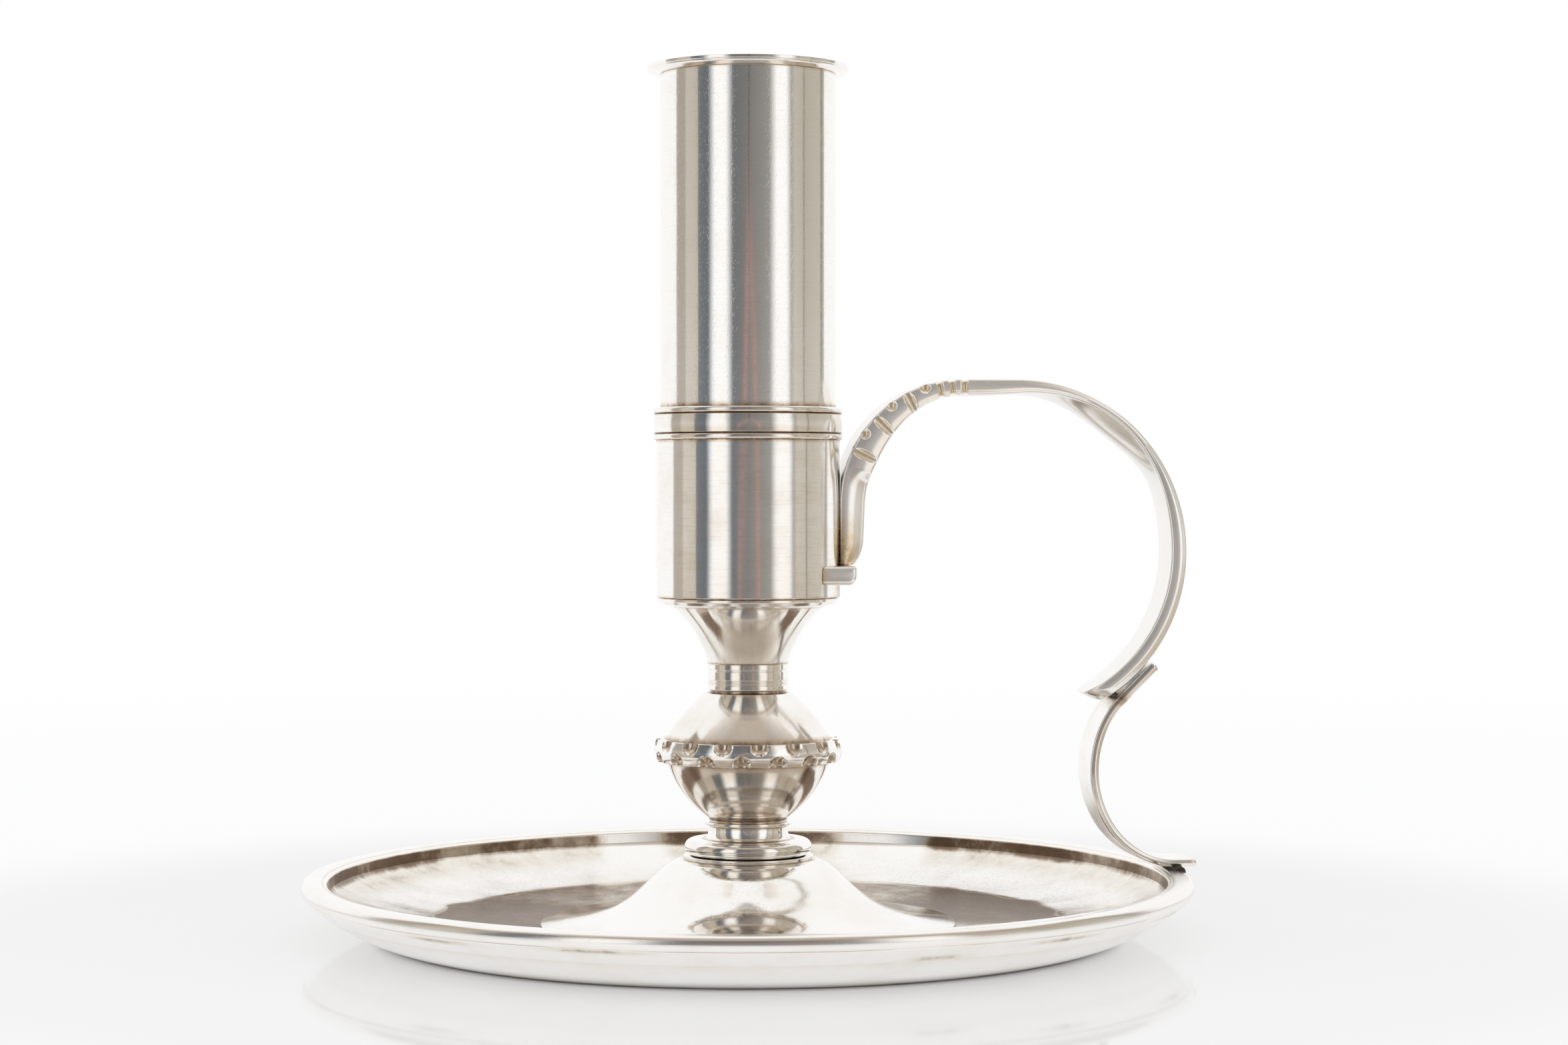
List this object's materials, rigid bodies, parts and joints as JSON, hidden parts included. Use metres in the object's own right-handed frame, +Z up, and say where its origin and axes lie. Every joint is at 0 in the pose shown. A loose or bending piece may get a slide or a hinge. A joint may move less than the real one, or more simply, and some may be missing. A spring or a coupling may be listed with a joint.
{
  "type": "chamber candlestick",
  "caption": "Silver chamber candlestick: a round pan with a turned stem, a cup with a lift-out candle tube and loose nozzle, and a strap handle from the cup to the rim.",
  "frame": {"origin": "centre of the pan's foot on the table, under the stem", "axes": "+Z up the stem, +X from the stem towards the handle, +Y completes the right-handed frame"},
  "size_m": [0.1256, 0.124, 0.121],
  "materials": {
    "dish": "polished silver",
    "dish_rim": "polished silver",
    "pan_dome": "polished silver",
    "collar_disc": "polished silver",
    "stem_spool": "worn silver with dark tarnish in its hollows",
    "knop_bowl": "polished silver",
    "knop_band": "worn silver with dark tarnish in its hollows",
    "knop_cap": "polished silver",
    "neck_collar": "worn silver with dark tarnish in its hollows",
    "stem_trumpet": "polished silver",
    "cup_base_ring": "polished silver",
    "cup_floor": "worn silver with dark tarnish in its hollows",
    "socket_cup": "polished silver",
    "cup_mouth_band": "polished silver",
    "candle_tube": "polished silver",
    "nozzle": "polished silver",
    "handle_foot": "silver with yellow-brown tarnish",
    "handle_strap": "silver with yellow-brown tarnish",
    "handle_scroll": "polished silver",
    "tie_bolt": "plain steel",
    "tie_washer": "plain steel",
    "tie_nut": "plain steel"
  },
  "bodies": {
    "base": {"dish": "dish", "dish_rim": "dish_rim", "pan_dome": "pan_dome", "collar_disc": "collar_disc", "stem_spool": "stem_spool", "knop_bowl": "knop_bowl", "knop_band": "knop_band", "knop_cap": "knop_cap", "neck_collar": "neck_collar", "stem_trumpet": "stem_trumpet", "cup_base_ring": "cup_base_ring", "cup_floor": "cup_floor", "socket_cup": "socket_cup", "cup_mouth_band": "cup_mouth_band", "handle_foot": "handle_foot", "handle_strap": "handle_strap", "handle_scroll": "handle_scroll", "tie_bolt": "tie_bolt", "tie_washer": "tie_washer", "tie_nut": "tie_nut"},
    "tube": {"candle_tube": "candle_tube"},
    "nozzle": {"nozzle": "nozzle"}
  },
  "joints": [
    {"name": "tube_lift", "type": "slide", "parent": "base", "child": "tube", "axis": [0, 0, 1], "range_m": [0, 0.028]},
    {"name": "nozzle_lift", "type": "slide", "parent": "tube", "child": "nozzle", "axis": [0, 0, 1], "range_m": [0, 0.012]}
  ]
}
